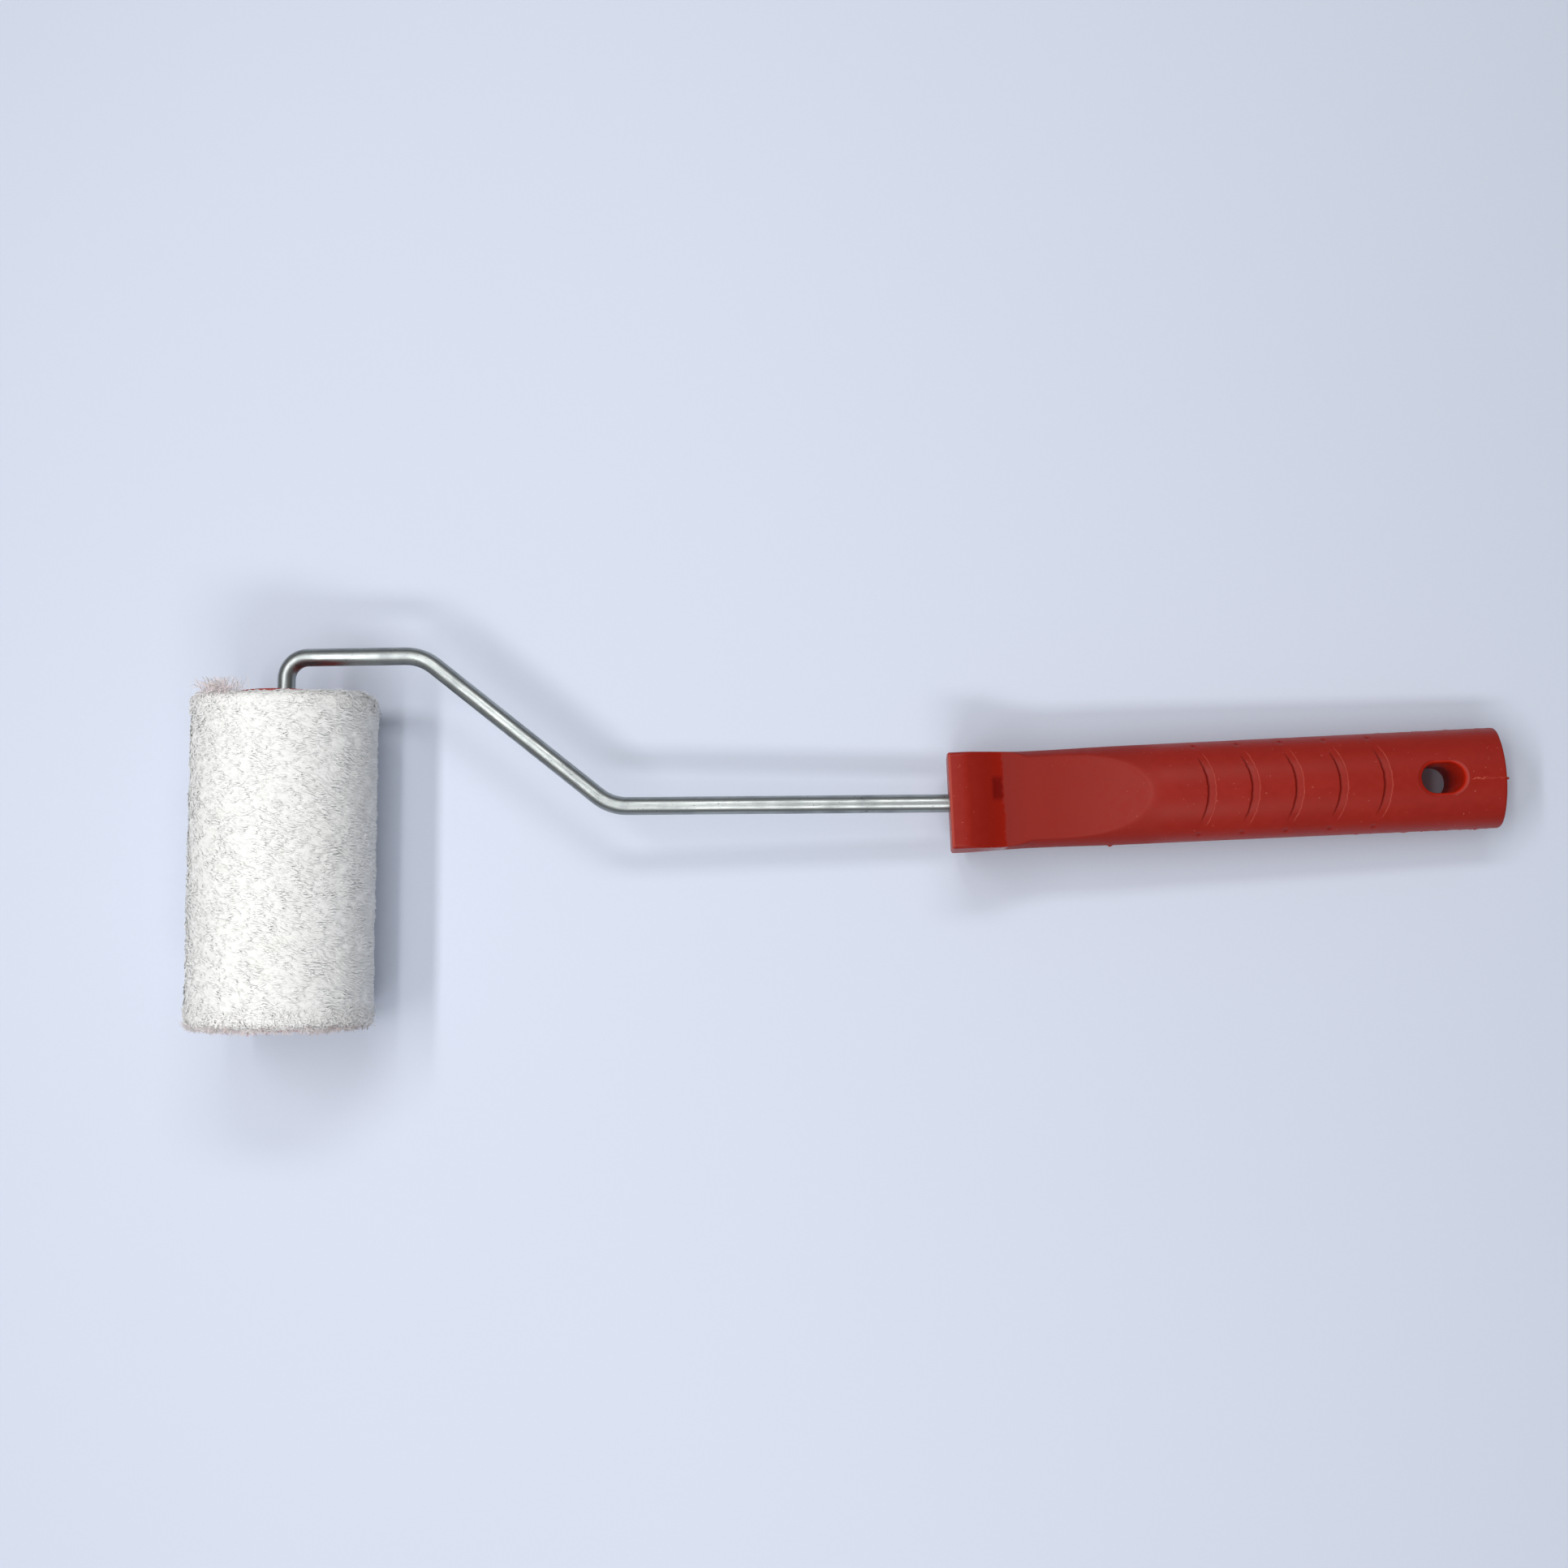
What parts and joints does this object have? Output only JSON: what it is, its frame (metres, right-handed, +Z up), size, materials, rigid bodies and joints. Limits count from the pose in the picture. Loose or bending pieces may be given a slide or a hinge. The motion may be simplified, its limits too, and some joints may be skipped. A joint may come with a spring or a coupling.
{
  "type": "paint roller",
  "caption": "Small paint roller: a plush sleeve spins on a bent wire frame that is pressed into an oval moulded handle with a hang slot.",
  "frame": {"origin": "centre of the bounding box in plan, on the surface it lies on", "axes": "+X from the sleeve to the handle, +Y along the sleeve's axis towards the wire's outer run, +Z up"},
  "size_m": [0.3928, 0.1174, 0.056],
  "materials": {
    "handle_plastic": "gloss",
    "zinc_wire": "satin",
    "spring_steel": "satin",
    "washer_steel": "satin",
    "core_plastic": "satin",
    "pile": "matte",
    "cap_plastic": "satin"
  },
  "bodies": {
    "frame": {"handle": "handle_plastic", "wire_frame": "zinc_wire", "near_push_ring": "spring_steel", "far_push_ring": "spring_steel", "near_thrust_washer": "washer_steel", "far_thrust_washer": "washer_steel"},
    "roller": {"core_tube": "core_plastic", "pile_cover": "pile", "near_end_cap": "cap_plastic", "far_end_cap": "cap_plastic"}
  },
  "joints": [
    {"name": "roller_spin", "type": "hinge", "parent": "frame", "child": "roller", "pos_m": [-0.16842, -0.00713, 0.028], "axis": [0, 1, 0], "continuous": true}
  ]
}
